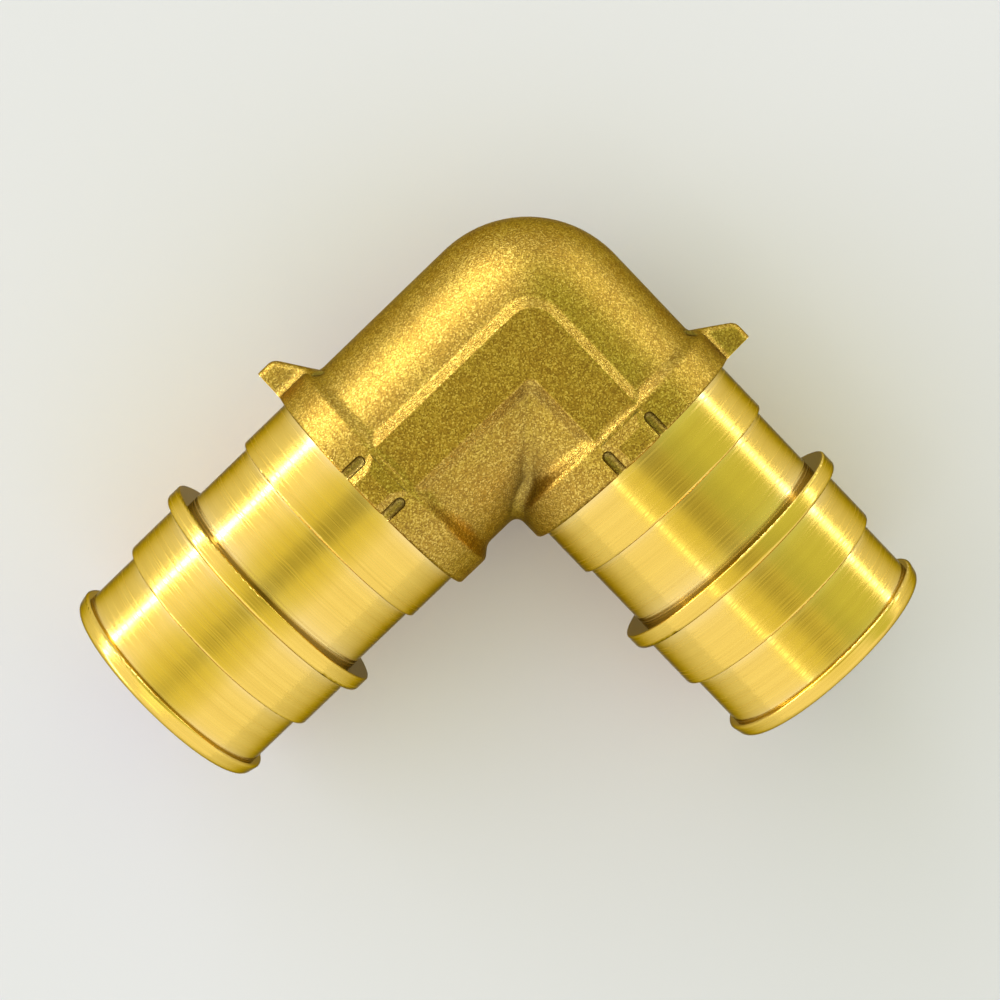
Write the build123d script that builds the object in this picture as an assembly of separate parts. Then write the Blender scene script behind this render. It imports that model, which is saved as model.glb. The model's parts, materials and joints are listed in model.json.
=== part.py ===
from build123d import *
import math
import os

# A forged brass 90 degree elbow with two turned inserts for cold-expansion pipe.
# The origin is where the two leg axes cross. The long leg runs along +X, the short one along +Y,
# and the elbow lies in the XY plane, so its forging parting plane is Z = 0.

# Driving dimensions, in millimetres
LONG_STOP = 22.0            # crossing to the pipe stop on the long leg
SHORT_STOP = 15.3           # crossing to the pipe stop on the short leg
SHANK_RADIUS = 11.6         # the insert's low diameter, which slides into the expanded pipe
INSERT_LENGTH = 29.3        # pipe stop to end face
INSERT_WALL = 1.6           # between the low diameter and the waterway
BODY_WALL = 2.15            # between the forged bend's outside and the waterway

# Waterway, drilled in from each end
BORE_RADIUS = SHANK_RADIUS - INSERT_WALL
BORE_OVERRUN = 1.0          # how far each drill's full width passes the crossing
DRILL_POINT_ANGLE = 118.0   # included angle of the drill's tip, degrees
MOUTH_CHAMFER = 0.5         # bevel where the waterway opens

# Turned insert: each height is above the low diameter, and each station is from the pipe stop
ROOT_LAND_HEIGHT = 0.55     # land beside the pipe stop
ROOT_LAND_LENGTH = 5.9
ROOT_LAND_ROUND = 0.25
SEAL_LAND_HEIGHT = 0.8      # land that runs out of the rib
SEAL_LAND_LENGTH = 6.1
SEAL_LAND_ROUND = 0.3
RIB_RISE = 1.2              # tall middle rib, above the land that runs out of it
RIB_START = 13.5
RIB_WIDTH = 1.8
RIB_BACK_ROUND = 0.2
RIB_FRONT_ROUND = 0.4
RIM_HEIGHT = 0.8            # lip at the free end
RIM_WIDTH = 1.8
RIM_TAPER = 0.4             # how much lower the lip is at the end face
RIM_BACK_ROUND = 0.3
RIM_END_ROUND = 0.8
ROOT_LAND_RADIUS = SHANK_RADIUS + ROOT_LAND_HEIGHT
SEAL_LAND_RADIUS = SHANK_RADIUS + SEAL_LAND_HEIGHT
RIB_RADIUS = SEAL_LAND_RADIUS + RIB_RISE
RIM_RADIUS = SHANK_RADIUS + RIM_HEIGHT

# Forged bend with a flared stop collar on each leg
TUBE_RADIUS = BORE_RADIUS + BODY_WALL
STOP_RISE = 1.0             # collar above the land beside it
COLLAR_LAND = 3.5           # straight part of the collar
COLLAR_BACK = 1.2           # length of the collar's sloping back
VALLEY_ROUND = 1.5          # where the collar's back meets the bend
SHOULDER_ROUND = 0.8        # top of the collar's back
STOP_EDGE_ROUND = 0.3       # collar edge at the stop face
CROTCH_ROUND = 1.0          # inside corner between the bend and the short leg's collar
COLLAR_RADIUS = ROOT_LAND_RADIUS + STOP_RISE
COLLAR_LENGTH = COLLAR_LAND + COLLAR_BACK

# Fin on the outer side of each collar
FIN_RISE = 3.05             # fin's tip above the collar
FIN_TIP_WIDTH = 2.0         # straight tip, along the leg
FIN_TIP_ROUND = 1.2
FIN_THICKNESS = 4.4         # where the fin leaves the collar
FIN_DRAFT = 15.0            # slope of each side towards the tip, degrees
FIN_EDGE_ROUND = 0.9
FIN_BACK_SINK = 0.9         # how deep the fin's sloping back runs into the bend
FIN_FOOT_WIDTH = 8.0        # how far the fin's foot spreads round the collar
FIN_FOOT_SINK = 0.3         # how deep the foot's edge is sunk in the collar
FIN_FOOT_ROUND = 1.6        # where the fin's sides run into the foot
FIN_REACH = COLLAR_RADIUS + FIN_RISE

# Flat chevron pad along the bend, on both faces of the forging
PAD_HALF_WIDTH = 2.65
PAD_RISE = 0.45             # pad top above the bend's crest
PAD_ROOT = 1.2              # how far the pad's slanting walls reach below the bend's crest
PAD_WALL_SLOPE = 45.0       # slant of the walls from upright, degrees
PAD_EDGE_ROUND = 0.3
PAD_CROOK_ROUND = 1.3       # pad's inside corner

# Nub on each collar's crest, between two small hollows that run out of the stop face
NUB_WIDTH = 4.3             # across the leg, where the nub leaves the collar
NUB_LENGTH = 3.2
NUB_RISE = 0.45             # nub's flat top above the collar's crest
NUB_RAMP = 1.2              # length of the slope at the nub's back
NUB_ROOT = 1.5              # how deep the nub is rooted below the collar's crest
NUB_DRAFT = 58.0            # slope of the nub's flanks from upright, degrees
NUB_ROUND = 0.3
HOLLOW_RADIUS = 0.6
HOLLOW_LENGTH = 2.6         # along the leg, from the stop face to the round end
HOLLOW_DEPTH = 0.45
HOLLOW_GAP = 0.6            # nub's flank to the hollow's middle

FIT_TOLERANCE = 0.001       # how near a seam lies to the surface it is on

# Each leg's own frame: X runs out along the leg, Y points to the outer side of the bend
LONG_LEG = Plane(origin=(0, 0, 0), x_dir=(1, 0, 0), z_dir=(0, 0, -1))
SHORT_LEG = Plane(origin=(0, 0, 0), x_dir=(0, 1, 0), z_dir=(0, 0, 1))
LEGS = ((LONG_LEG, LONG_STOP), (SHORT_LEG, SHORT_STOP))
STANDING = (Align.CENTER, Align.CENTER, Align.MIN)


def upright(plane):
    """The leg's frame with Z up, for what sits on the elbow's upper face."""
    return Plane(origin=plane.origin, x_dir=plane.x_dir, z_dir=(0, 0, 1))


def turned(corners):
    """A solid of revolution about X from (station, radius, corner round) corners."""
    outline = FilletPolyline(
        *[(station, radius) for station, radius, _ in corners],
        radius=[corner_round for _, _, corner_round in corners],
        close=True,
    )
    return revolve(make_face(outline), axis=Axis.X)


def leg_skin(stop):
    """The leg's outside: half of the bend, the stop collar and the ribbed insert."""
    root_end = stop + ROOT_LAND_LENGTH
    rib_back = stop + RIB_START
    rib_front = rib_back + RIB_WIDTH
    seal_end = rib_front + SEAL_LAND_LENGTH
    tip = stop + INSERT_LENGTH
    rim_back = tip - RIM_WIDTH
    return turned([
        (0, 0, 0),
        (0, TUBE_RADIUS, 0),
        (stop - COLLAR_LENGTH, TUBE_RADIUS, VALLEY_ROUND),
        (stop - COLLAR_LAND, COLLAR_RADIUS, SHOULDER_ROUND),
        (stop, COLLAR_RADIUS, STOP_EDGE_ROUND),
        (stop, ROOT_LAND_RADIUS, 0),
        (root_end, ROOT_LAND_RADIUS, ROOT_LAND_ROUND),
        (root_end, SHANK_RADIUS, 0),
        (rib_back, SHANK_RADIUS, 0),
        (rib_back, RIB_RADIUS, RIB_BACK_ROUND),
        (rib_front, RIB_RADIUS, RIB_FRONT_ROUND),
        (rib_front, SEAL_LAND_RADIUS, 0),
        (seal_end, SEAL_LAND_RADIUS, SEAL_LAND_ROUND),
        (seal_end, SHANK_RADIUS, 0),
        (rim_back, SHANK_RADIUS, 0),
        (rim_back, RIM_RADIUS, RIM_BACK_ROUND),
        (tip, RIM_RADIUS - RIM_TAPER, RIM_END_ROUND),
        (tip, 0, 0),
    ])


def drilled_bore(stop):
    """The waterway drilled in along one leg, with the drill's pointed end and the bevelled mouth."""
    tip = stop + INSERT_LENGTH
    point = BORE_RADIUS / math.tan(math.radians(DRILL_POINT_ANGLE / 2))
    return turned([
        (-BORE_OVERRUN - point, 0, 0),
        (-BORE_OVERRUN, BORE_RADIUS, 0),
        (tip - MOUTH_CHAMFER, BORE_RADIUS, 0),
        (tip, BORE_RADIUS + MOUTH_CHAMFER, 0),
        (tip, 0, 0),
    ])


def fin(stop):
    """The drafted fin that stands out from the collar in the parting plane, on a spreading foot."""
    length = COLLAR_LENGTH + FIN_BACK_SINK * (COLLAR_LENGTH - FIN_TIP_WIDTH) / (FIN_REACH - TUBE_RADIUS)
    outline = FilletPolyline(
        (stop - length, BORE_RADIUS),
        (stop - length, TUBE_RADIUS - FIN_BACK_SINK),
        (stop - FIN_TIP_WIDTH, FIN_REACH),
        (stop, FIN_REACH),
        (stop, BORE_RADIUS),
        radius=[0, 0, FIN_TIP_ROUND, 0, 0],
        close=True,
    )
    plate = extrude(make_face(outline), amount=FIN_FOOT_WIDTH, both=True)
    root = FIN_THICKNESS / 2
    foot = FIN_FOOT_WIDTH / 2
    tip = root - FIN_RISE * math.tan(math.radians(FIN_DRAFT))
    root_reach = math.sqrt(COLLAR_RADIUS ** 2 - root ** 2)
    foot_reach = math.sqrt(COLLAR_RADIUS ** 2 - foot ** 2) - FIN_FOOT_SINK
    section = Plane.YZ * make_face(FilletPolyline(
        (BORE_RADIUS, -foot),
        (foot_reach, -foot),
        (root_reach, -root),
        (FIN_REACH, -tip),
        (FIN_REACH, tip),
        (root_reach, root),
        (foot_reach, foot),
        (BORE_RADIUS, foot),
        radius=[0, 0, FIN_FOOT_ROUND, 0, 0, FIN_FOOT_ROUND, 0, 0],
        close=True,
    ))
    blade = plate & Pos(stop, 0, 0) * extrude(section, amount=-length, dir=(1, 0, 0))
    stop_face = blade.faces().sort_by(Axis.X)[-1]
    outside = blade.faces().filter_by(lambda face: face.normal_at().Y > 0)
    outside = outside.filter_by(lambda face: abs(face.normal_at().Z) < FIT_TOLERANCE)
    rim = (outside.edges() - stop_face.edges()).filter_by(lambda edge: edge.center().Y > COLLAR_RADIUS)
    return fillet(rim.filter_by(lambda edge: abs(edge.center().Z) > tip / 2), FIN_EDGE_ROUND)


def pad_arm(stop):
    """One straight arm of the chevron pad, from the crossing into the collar's back."""
    top = TUBE_RADIUS + PAD_RISE
    base = TUBE_RADIUS - PAD_ROOT
    spread = (top - base) * math.tan(math.radians(PAD_WALL_SLOPE))
    section = Plane.YZ * make_face(Polyline(
        (-PAD_HALF_WIDTH - spread, base),
        (-PAD_HALF_WIDTH, top),
        (PAD_HALF_WIDTH, top),
        (PAD_HALF_WIDTH + spread, base),
        close=True,
    ))
    return extrude(section, amount=stop - COLLAR_LAND, dir=(1, 0, 0))


def chevron_pad():
    """The flat pad that follows the bend, with a rounded outer corner and softened top edges."""
    height = PAD_RISE + PAD_ROOT
    spread = height * math.tan(math.radians(PAD_WALL_SLOPE))
    corner = Cone(PAD_HALF_WIDTH + spread, PAD_HALF_WIDTH, height, align=STANDING)
    pad = Pos(0, 0, TUBE_RADIUS - PAD_ROOT) * corner
    for plane, stop in LEGS:
        pad += upright(plane) * pad_arm(stop)
    crook = pad.edges().filter_by(lambda edge: min(edge.center().X, edge.center().Y) > PAD_HALF_WIDTH / 2)
    crook = crook.filter_by(lambda edge: edge.bounding_box().size.Z > PAD_RISE)
    pad = fillet(crook.sort_by(lambda edge: edge.center().X + edge.center().Y)[0], PAD_CROOK_ROUND)
    return fillet(pad.faces().sort_by(Axis.Z)[-1].edges(), PAD_EDGE_ROUND)


def nub(stop):
    """The small flat-topped nub on the collar's crest, sloping at its back and flanks."""
    top = COLLAR_RADIUS + NUB_RISE
    base = COLLAR_RADIUS - NUB_ROOT
    slope = math.tan(math.radians(NUB_DRAFT))
    side = Plane.XZ * make_face(Polyline(
        (stop - NUB_LENGTH, base),
        (stop - NUB_LENGTH, COLLAR_RADIUS),
        (stop - NUB_LENGTH + NUB_RAMP, top),
        (stop, top),
        (stop, base),
        close=True,
    ))
    front = Plane.YZ * make_face(Polyline(
        (-NUB_WIDTH / 2 - NUB_ROOT * slope, base),
        (-NUB_WIDTH / 2 + NUB_RISE * slope, top),
        (NUB_WIDTH / 2 - NUB_RISE * slope, top),
        (NUB_WIDTH / 2 + NUB_ROOT * slope, base),
        close=True,
    ))
    bar = Pos(stop, 0, 0) * extrude(front, amount=-NUB_LENGTH, dir=(1, 0, 0))
    block = extrude(side, amount=NUB_WIDTH, both=True) & bar
    crown = block.edges().filter_by(lambda edge: edge.bounding_box().max.Z > COLLAR_RADIUS + NUB_RISE / 2)
    return fillet(crown, NUB_ROUND)


def hollow(stop, side):
    """A shallow hollow beside the nub, round at its inner end and open at the stop face."""
    across = side * (NUB_WIDTH / 2 + HOLLOW_GAP)
    skin = math.sqrt(COLLAR_RADIUS ** 2 - across ** 2)
    round_end = stop - HOLLOW_LENGTH + HOLLOW_RADIUS
    groove = Rot(0, 90, 0) * Cylinder(HOLLOW_RADIUS, HOLLOW_LENGTH, align=STANDING)
    groove += Sphere(HOLLOW_RADIUS)
    return Pos(round_end, across, skin + HOLLOW_RADIUS - HOLLOW_DEPTH) * groove


def crotch_edges(body):
    """The seam in the bend's inside corner, where the long leg's tube runs into the short leg."""
    def on_seam(edge):
        spots = [edge.position_at(part) for part in (0, 0.5, 1)]
        on_tube = all(abs(math.hypot(spot.Y, spot.Z) - TUBE_RADIUS) < FIT_TOLERANCE for spot in spots)
        inside_bend = all(min(spot.X, spot.Y) > PAD_HALF_WIDTH for spot in spots)
        return on_tube and inside_bend and edge.geom_type not in (GeomType.LINE, GeomType.CIRCLE)
    return body.edges().filter_by(on_seam)


def forged_elbow():
    """The whole elbow: both legs and the bend, dressed on both faces, then drilled through."""
    body = Sphere(TUBE_RADIUS)
    for plane, stop in LEGS:
        body += plane * leg_skin(stop)
        body += plane * fin(stop)
    raised = [chevron_pad()] + [upright(plane) * nub(stop) for plane, stop in LEGS]
    sunk = [upright(plane) * hollow(stop, side) for plane, stop in LEGS for side in (-1, 1)]
    body += raised + [mirror(shape, about=Plane.XY) for shape in raised]
    body = fillet(crotch_edges(body), CROTCH_ROUND)
    body -= sunk + [mirror(shape, about=Plane.XY) for shape in sunk]
    body -= [plane * drilled_bore(stop) for plane, stop in LEGS]
    return body


os.makedirs("parts", exist_ok=True)
elbow = forged_elbow()
export_step(elbow, "parts/elbow.step")
print("volume mm3", round(elbow.volume, 1), "solids", len(elbow.solids()), "valid", elbow.is_valid)
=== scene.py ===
import json
import bpy
from mathutils import Matrix, Vector


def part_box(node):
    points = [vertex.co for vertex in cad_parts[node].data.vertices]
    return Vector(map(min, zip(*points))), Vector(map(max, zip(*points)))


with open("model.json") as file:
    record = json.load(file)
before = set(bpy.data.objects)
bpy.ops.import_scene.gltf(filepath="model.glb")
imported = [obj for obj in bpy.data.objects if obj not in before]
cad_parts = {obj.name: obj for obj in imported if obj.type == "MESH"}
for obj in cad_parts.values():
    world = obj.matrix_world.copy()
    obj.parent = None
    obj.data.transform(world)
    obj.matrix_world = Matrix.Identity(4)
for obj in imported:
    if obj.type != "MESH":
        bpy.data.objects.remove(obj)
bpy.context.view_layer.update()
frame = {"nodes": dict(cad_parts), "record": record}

MM = 0.001
ELBOW = frame["nodes"]["elbow"]
MOUNTS = {mount["name"]: mount for mount in frame["record"]["mounts"]}

# Sizes read from the frame, in metres
LONG_STOP = MOUNTS["long_stop"]["pos_m"][0]
SHORT_STOP = MOUNTS["short_stop"]["pos_m"][1]
BORE_RADIUS = MOUNTS["long_waterway"]["dims"]["r_mm"] * MM
FLOOR_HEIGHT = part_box("elbow")[0].z

# Camera: where it stands, what it looks at, its lens and its sensor's width, in millimetres
CAMERA_PLACE = (7.01, -2.03, 198.94)
CAMERA_TARGET = (13.33, 9.87, 0.0)
CAMERA_UP = (-0.6914, -0.7196, 0.0)
CAMERA_LENS = 70.8
CAMERA_SENSOR = 36.0
CAMERA_NEAR = 10.0          # nothing nearer than this is drawn

# Surface sizes in millimetres
BLAST_GRAIN = 0.13          # width of the dimples left by the shot
BLAST_DEPTH = 0.02          # their depth, drawn deeper than the real one so that it shows
PAINTED_SHADE_REACH = 4.0          # how far out of a corner the painted shade reaches
BLAST_PATCH = 6.0           # slow drift of tone over the forged skin
TOOL_FEED = 0.22            # spacing of the turning lines, drawn coarser than the real feed
TOOL_DEPTH = 0.012          # their depth, where a band is deepest
TOOL_BAND = 1.1             # broader bands that the turning tool leaves
STOP_FACING = 0.05          # the facing cut takes this much of the collar
DRILL_REACH = 6.5           # how far the drill's tip passes the crossing of the legs
FLOOR_HALF = 1500.0         # half the width of the paper

# Surface looks
BORE_MARGIN = 1.02          # the drilled zone reaches this much past the bore's wall
TURNED_ROUGHNESS = (0.1, 0.3)
BLASTED_ROUGHNESS = 0.36
LINE_RANGE = (0.3, 0.7)     # part of the line noise that changes the roughness
LINE_DETAIL = 2.0
BAND_DETAIL = 1.0
PATCH_RANGE = (0.3, 0.6)    # part of the patch noise that goes from brown to yellow
PATCH_DETAIL = 8.0
PATCH_CONTRAST = 0.75
DIMPLE_RANGE = (0.1, 0.7)   # share of the dimples that go from hollow to skin
PAINTED_GLINT_RANGE = (0.75, 0.95)  # share of the dimples painted as bright glints
PAINTED_SHADE_RANGE = (0.48, 0.97)  # openness between a corner fully in painted shade and unshaded metal
UNSHADED_SHARE = 0.15         # share of unshaded colour left in the deepest corner
PAINTED_SHADE_RAYS = 8

# Colours as sRGB hex
TURNED_BRASS = "#F9D466"
TURNED_BRASS_SHADE = "#DDB64C"
# painted light that lifts the shade in the inserts' corners and rib roots
PAINTED_CORNER_LIGHT = "#FBDF98"
BLASTED_BRASS = "#CCAB48"
BLASTED_BRASS_BROWN = "#BA8F38"
BLASTED_HOLLOW = "#987630"
# painted highlight on the brightest dimples
PAINTED_GLINT = "#E6C664"
# painted shade in the forging's corners, valleys and crook
PAINTED_CORNER_SHADE = "#6F6B42"
# edge tint darkened to paint darker reflections on the grazing edges
PAINTED_DARK_EDGE_TINT = "#8C866E"
FLOOR_PAPER = "#E6E6FA"
TENT_WHITE = "#FFFFFF"
TENT_GREEN = "#E8F4A4"
TENT_OLIVE = "#FFFDAA"

# Tent. A height is the sine of an elevation, and a lean is -1 straight at a leg's outer side
SHORT_LEAN_ASIDE = 0.6      # share of the way along the short leg in the lean to its outer side
LONG_LEAN_ASIDE = -0.35     # share of the way along the long leg in the lean to its outer side
DARK_TOP_WAY = (-0.052, 0.0, 0.9986)  # to the middle of the dark patch, near the zenith
DARK_TOP_RANGE = (0.94, 0.997)        # cosines from that middle between which it sets in
DARK_TOP_LEVEL = 0.39
CANOPY_HEIGHTS = (0.7, 0.93)          # the cloth turns olive and dimmer between these
CANOPY_LEVEL = 0.78
GREEN_LEANS = (0.0, -0.3)             # the short leg's side turns green and dimmer over these
GREEN_HEIGHTS = (0.1, 0.3)
GREEN_LEVEL = 0.785
WHITE_LEVEL = 1.03
STRIP_FADE = 0.3            # share of a strip's width over which its edges fade

# Bright strips: the leans over which each fades in, its lower and upper height, its strength
LONG_SIDE_STRIP = ((-0.5, -0.8), 0.21, 0.29, 15.0)
SHORT_SIDE_STRIP = ((-0.5, -0.8), 0.0, 0.1, 4.5)
INNER_STRIP = ((0.35, 0.5), 0.79, 0.83, 1.4)


def linear(hex_colour):
    """An sRGB hex colour as linear RGBA."""
    channels = [int(hex_colour[i:i + 2], 16) / 255 for i in (1, 3, 5)]
    return [c / 12.92 if c <= 0.04045 else ((c + 0.055) / 1.055) ** 2.4 for c in channels] + [1.0]


def add(tree, kind, links=None, values=None, **settings):
    """One node with its settings, its socket values and the sockets that feed it."""
    node = tree.nodes.new(kind)
    for name, setting in settings.items():
        setattr(node, name, setting)
    for socket, value in (values or {}).items():
        node.inputs[socket].default_value = value
    for socket, source in (links or {}).items():
        tree.links.new(source, node.inputs[socket])
    return node


def span(low_high):
    """The two ends of a range, for a map range node."""
    return {"From Min": low_high[0], "From Max": low_high[1]}


def new_material(name):
    """An empty node material."""
    material = bpy.data.materials.new(name)
    material.use_nodes = True
    material.node_tree.nodes.clear()
    return material, material.node_tree


def turned_zone(tree, place):
    """1 where the metal was cut, on the inserts and in the waterway, and 0 on the forged skin."""
    zones = []
    for along, stop in (("X", LONG_STOP), ("Y", SHORT_STOP)):
        zones.append(add(tree, "ShaderNodeMath", {0: place.outputs[along]},
                         {1: stop - STOP_FACING * MM}, operation="GREATER_THAN"))
    for along, across in (("X", "Y"), ("Y", "X")):
        offset = add(tree, "ShaderNodeCombineXYZ",
                     {0: place.outputs[across], 1: place.outputs["Z"]})
        radius = add(tree, "ShaderNodeVectorMath", {0: offset.outputs[0]}, operation="LENGTH")
        inside = add(tree, "ShaderNodeMath", {0: radius.outputs["Value"]},
                     {1: BORE_RADIUS * BORE_MARGIN}, operation="LESS_THAN")
        ahead = add(tree, "ShaderNodeMath", {0: place.outputs[along]},
                    {1: -DRILL_REACH * MM}, operation="GREATER_THAN")
        zones.append(add(tree, "ShaderNodeMath", {0: inside.outputs[0], 1: ahead.outputs[0]},
                         operation="MULTIPLY"))
    total = zones[0]
    for zone in zones[1:]:
        total = add(tree, "ShaderNodeMath", {0: total.outputs[0], 1: zone.outputs[0]},
                    operation="MAXIMUM")
    return total


def forged_and_turned_brass():
    """Forging brass: a shot-blasted skin, grainy dull gold, and inserts turned to satin yellow."""
    material, tree = new_material("forged_and_turned_brass")
    coords = add(tree, "ShaderNodeTexCoord")
    spot = coords.outputs["Object"]
    place = add(tree, "ShaderNodeSeparateXYZ", {0: spot})
    zone = turned_zone(tree, place).outputs[0]

    # Turning: lines that run round the leg, so only the station along it drives them
    station = add(tree, "ShaderNodeMath", {0: place.outputs["X"], 1: place.outputs["Y"]},
                  operation="MAXIMUM")
    lines = add(tree, "ShaderNodeTexNoise", {"W": station.outputs[0]},
                {"Scale": 1 / (TOOL_FEED * MM), "Detail": LINE_DETAIL}, noise_dimensions="1D")
    bands = add(tree, "ShaderNodeTexNoise", {"W": station.outputs[0]},
                {"Scale": 1 / (TOOL_BAND * MM), "Detail": BAND_DETAIL}, noise_dimensions="1D")
    streak = add(tree, "ShaderNodeMath", {0: bands.outputs["Fac"], 1: lines.outputs["Fac"]},
                 operation="MULTIPLY")
    turned_colour = add(tree, "ShaderNodeMix", {"Factor": streak.outputs[0]},
                        {"A": linear(TURNED_BRASS), "B": linear(TURNED_BRASS_SHADE)},
                        data_type="RGBA")
    turned_rough = add(tree, "ShaderNodeMapRange", {"Value": lines.outputs["Fac"]},
                       {**span(LINE_RANGE),
                        "To Min": TURNED_ROUGHNESS[0], "To Max": TURNED_ROUGHNESS[1]})
    turned_height = add(tree, "ShaderNodeMath", {0: streak.outputs[0]}, {1: TOOL_DEPTH * MM},
                        operation="MULTIPLY")

    # Blasting: fine dimples all over, and a slow drift of tone from the forging scale
    grain = add(tree, "ShaderNodeTexVoronoi", {"Vector": spot},
                {"Scale": 1 / (BLAST_GRAIN * MM)}, feature="F1")
    grain_and_glint_pick = add(tree, "ShaderNodeSeparateColor", {0: grain.outputs["Color"]})
    patch = add(tree, "ShaderNodeTexNoise", {"Vector": spot},
                {"Scale": 1 / (BLAST_PATCH * MM), "Detail": PATCH_DETAIL,
                 "Roughness": PATCH_CONTRAST})
    tone = add(tree, "ShaderNodeMapRange", {"Value": patch.outputs["Fac"]}, span(PATCH_RANGE))
    skin = add(tree, "ShaderNodeMix", {"Factor": tone.outputs["Result"]},
               {"A": linear(BLASTED_BRASS_BROWN), "B": linear(BLASTED_BRASS)}, data_type="RGBA")
    dimple = add(tree, "ShaderNodeMapRange", {"Value": grain_and_glint_pick.outputs["Red"]}, span(DIMPLE_RANGE))
    dimpled = add(tree, "ShaderNodeMix",
                  {"Factor": dimple.outputs["Result"], "B": skin.outputs["Result"]},
                  {"A": linear(BLASTED_HOLLOW)}, data_type="RGBA")
    # Painted glints: the brightest share of the dimples is painted pale, as specks that catch the
    # light
    painted_glint = add(tree, "ShaderNodeMapRange", {"Value": grain_and_glint_pick.outputs["Red"]}, span(PAINTED_GLINT_RANGE))
    grain_and_painted_glints = add(tree, "ShaderNodeMix",
                  {"Factor": painted_glint.outputs["Result"], "A": dimpled.outputs["Result"]},
                  {"B": linear(PAINTED_GLINT)}, data_type="RGBA")
    blasted_height = add(tree, "ShaderNodeMath", {0: grain.outputs["Distance"]},
                         {1: BLAST_DEPTH * MM}, operation="MULTIPLY")

    # Corners, read from the ambient occlusion: painted shade darkens those of the forging, and
    # painted light keeps those of the inserts pale
    opening = add(tree, "ShaderNodeAmbientOcclusion", values={"Distance": PAINTED_SHADE_REACH * MM},
                  samples=PAINTED_SHADE_RAYS, only_local=True)
    unshaded = add(tree, "ShaderNodeMapRange", {"Value": opening.outputs["AO"]},
                  {**span(PAINTED_SHADE_RANGE), "To Min": UNSHADED_SHARE})
    shaded_blasted_colour = add(tree, "ShaderNodeMix",
                         {"Factor": unshaded.outputs["Result"], "B": grain_and_painted_glints.outputs["Result"]},
                         {"A": linear(PAINTED_CORNER_SHADE)}, data_type="RGBA")
    # Painted light: the turned colour turns paler where the inserts' corners are shaded
    turned_colour_painted_light = add(tree, "ShaderNodeMix",
                      {"Factor": unshaded.outputs["Result"], "B": turned_colour.outputs["Result"]},
                      {"A": linear(PAINTED_CORNER_LIGHT)}, data_type="RGBA")

    colour = add(tree, "ShaderNodeMix",
                 {"Factor": zone, "A": shaded_blasted_colour.outputs["Result"],
                  "B": turned_colour_painted_light.outputs["Result"]}, data_type="RGBA")
    rough = add(tree, "ShaderNodeMix", {"Factor": zone, "B": turned_rough.outputs["Result"]},
                {"A": BLASTED_ROUGHNESS})
    height = add(tree, "ShaderNodeMix",
                 {"Factor": zone, "A": blasted_height.outputs[0], "B": turned_height.outputs[0]})
    bump = add(tree, "ShaderNodeBump", {"Height": height.outputs["Result"]},
               {"Strength": 1.0, "Distance": 1.0})
    # The edge tint is darkened, painting darker reflections on the grazing edges
    metal = add(tree, "ShaderNodeBsdfPrincipled",
                {"Base Color": colour.outputs["Result"], "Roughness": rough.outputs["Result"],
                 "Normal": bump.outputs["Normal"]},
                {"Metallic": 1.0, "Specular Tint": linear(PAINTED_DARK_EDGE_TINT)})
    add(tree, "ShaderNodeOutputMaterial", {"Surface": metal.outputs[0]})
    return material


def floor_paper():
    """Uncoated, brightened white paper: matt, so the eye sees only the elbow's soft shadow."""
    material, tree = new_material("matt_white_paper")
    paper = add(tree, "ShaderNodeBsdfDiffuse", values={"Color": linear(FLOOR_PAPER)})
    add(tree, "ShaderNodeOutputMaterial", {"Surface": paper.outputs[0]})
    return material


def lay_floor():
    """A wide sheet that the elbow lies on."""
    half = FLOOR_HALF * MM
    mesh = bpy.data.meshes.new("floor")
    corners = [(x, y, FLOOR_HEIGHT)
               for x, y in ((-half, -half), (half, -half), (half, half), (-half, half))]
    mesh.from_pydata(corners, [], [(0, 1, 2, 3)])
    floor = bpy.data.objects.new("floor", mesh)
    bpy.context.scene.collection.objects.link(floor)
    mesh.materials.append(floor_paper())


def strip_panel(tree, toward, reach, height, low, high, strength):
    """A bright strip in the tent: it fades in over reach on one side, between two heights."""
    fade = STRIP_FADE * (high - low)
    side = add(tree, "ShaderNodeMapRange", {"Value": toward}, span(reach),
               interpolation_type="SMOOTHSTEP")
    above = add(tree, "ShaderNodeMapRange", {"Value": height}, span((low - fade, low + fade)),
                interpolation_type="SMOOTHSTEP")
    below = add(tree, "ShaderNodeMapRange", {"Value": height}, span((high + fade, high - fade)),
                interpolation_type="SMOOTHSTEP")
    band = add(tree, "ShaderNodeMath", {0: above.outputs["Result"], 1: below.outputs["Result"]},
               operation="MULTIPLY")
    panel = add(tree, "ShaderNodeMath", {0: band.outputs[0], 1: side.outputs["Result"]},
                operation="MULTIPLY")
    return add(tree, "ShaderNodeMath", {0: panel.outputs[0]}, {1: strength}, operation="MULTIPLY")


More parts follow.
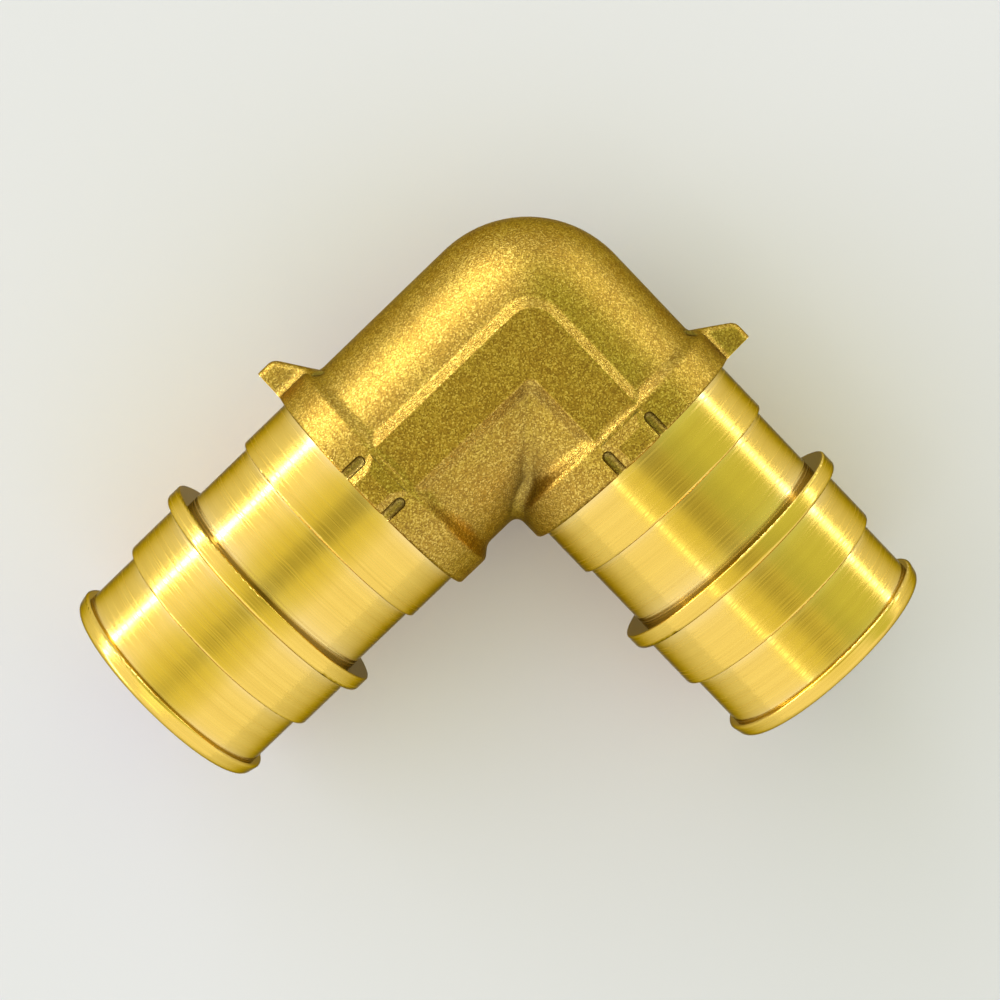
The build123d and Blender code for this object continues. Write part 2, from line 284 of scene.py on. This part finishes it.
def studio_world():
    """A white tent with an olive canopy, dark at the top and green on the short leg's outer side.

    A bright strip stands low on each leg's outer side, and a thin one high inside the bend.
    """
    world = bpy.data.worlds.new("tent")
    bpy.context.scene.world = world
    world.use_nodes = True
    tree = world.node_tree
    tree.nodes.clear()
    coords = add(tree, "ShaderNodeTexCoord")
    way = add(tree, "ShaderNodeSeparateXYZ", {0: coords.outputs["Generated"]})
    aside = add(tree, "ShaderNodeMath", {0: way.outputs["Y"]}, operation="ABSOLUTE")
    short_lean = add(tree, "ShaderNodeMath", {0: aside.outputs[0], 2: way.outputs["X"]},
                     {1: SHORT_LEAN_ASIDE}, operation="MULTIPLY_ADD")
    long_lean = add(tree, "ShaderNodeMath", {0: way.outputs["X"], 2: way.outputs["Y"]},
                    {1: LONG_LEAN_ASIDE}, operation="MULTIPLY_ADD")

    # Where the tent is dark, olive or green
    toward_top = add(tree, "ShaderNodeVectorMath", {0: coords.outputs["Generated"]},
                     {1: DARK_TOP_WAY}, operation="DOT_PRODUCT")
    dark_top = add(tree, "ShaderNodeMapRange", {"Value": toward_top.outputs["Value"]},
                   span(DARK_TOP_RANGE), interpolation_type="SMOOTHSTEP")
    canopy = add(tree, "ShaderNodeMapRange", {"Value": way.outputs["Z"]}, span(CANOPY_HEIGHTS))
    short_side = add(tree, "ShaderNodeMapRange", {"Value": short_lean.outputs[0]},
                     span(GREEN_LEANS), interpolation_type="SMOOTHSTEP")
    upper = add(tree, "ShaderNodeMapRange", {"Value": way.outputs["Z"]}, span(GREEN_HEIGHTS),
                interpolation_type="SMOOTHSTEP")
    green = add(tree, "ShaderNodeMath",
                {0: short_side.outputs["Result"], 1: upper.outputs["Result"]},
                operation="MULTIPLY")

    # Its colour
    cloth = add(tree, "ShaderNodeMix", {"Factor": canopy.outputs["Result"]},
                {"A": linear(TENT_WHITE), "B": linear(TENT_OLIVE)}, data_type="RGBA")
    sides = add(tree, "ShaderNodeMix", {"Factor": green.outputs[0], "A": cloth.outputs["Result"]},
                {"B": linear(TENT_GREEN)}, data_type="RGBA")
    colour = add(tree, "ShaderNodeMix",
                 {"Factor": dark_top.outputs["Result"], "A": sides.outputs["Result"]},
                 {"B": linear(TENT_OLIVE)}, data_type="RGBA")

    # Its level, and the strips
    side_level = add(tree, "ShaderNodeMapRange", {"Value": green.outputs[0]},
                     {"To Min": WHITE_LEVEL, "To Max": GREEN_LEVEL})
    canopy_level = add(tree, "ShaderNodeMapRange", {"Value": canopy.outputs["Result"]},
                       {"To Min": 1.0, "To Max": CANOPY_LEVEL})
    walls = add(tree, "ShaderNodeMath",
                {0: side_level.outputs["Result"], 1: canopy_level.outputs["Result"]},
                operation="MULTIPLY")
    level = add(tree, "ShaderNodeMix",
                {"Factor": dark_top.outputs["Result"], "A": walls.outputs[0]},
                {"B": DARK_TOP_LEVEL}).outputs["Result"]
    for toward, strip in ((long_lean.outputs[0], LONG_SIDE_STRIP),
                          (short_lean.outputs[0], SHORT_SIDE_STRIP),
                          (way.outputs["X"], INNER_STRIP)):
        reach, low, high, strength = strip
        panel = strip_panel(tree, toward, reach, way.outputs["Z"], low, high, strength)
        level = add(tree, "ShaderNodeMath", {0: level, 1: panel.outputs[0]},
                    operation="ADD").outputs[0]
    tent = add(tree, "ShaderNodeBackground",
               {"Color": colour.outputs["Result"], "Strength": level})
    add(tree, "ShaderNodeOutputWorld", {"Surface": tent.outputs[0]})


def place_camera():
    """The camera at the photograph's angle, looking down on the elbow."""
    lens = bpy.data.cameras.new("camera")
    lens.lens = CAMERA_LENS
    lens.sensor_width = CAMERA_SENSOR
    lens.clip_start = CAMERA_NEAR * MM
    camera = bpy.data.objects.new("camera", lens)
    bpy.context.scene.collection.objects.link(camera)
    back = (Vector(CAMERA_PLACE) - Vector(CAMERA_TARGET)).normalized()
    right = Vector(CAMERA_UP).cross(back).normalized()
    up = back.cross(right)
    turn = Matrix((right, up, back)).transposed().to_4x4()
    camera.matrix_world = Matrix.Translation(Vector(CAMERA_PLACE) * MM) @ turn
    bpy.context.scene.camera = camera


brass = forged_and_turned_brass()
for slot in ELBOW.material_slots:
    slot.material = brass
lay_floor()
studio_world()
place_camera()
bpy.context.scene.view_settings.view_transform = "Standard"
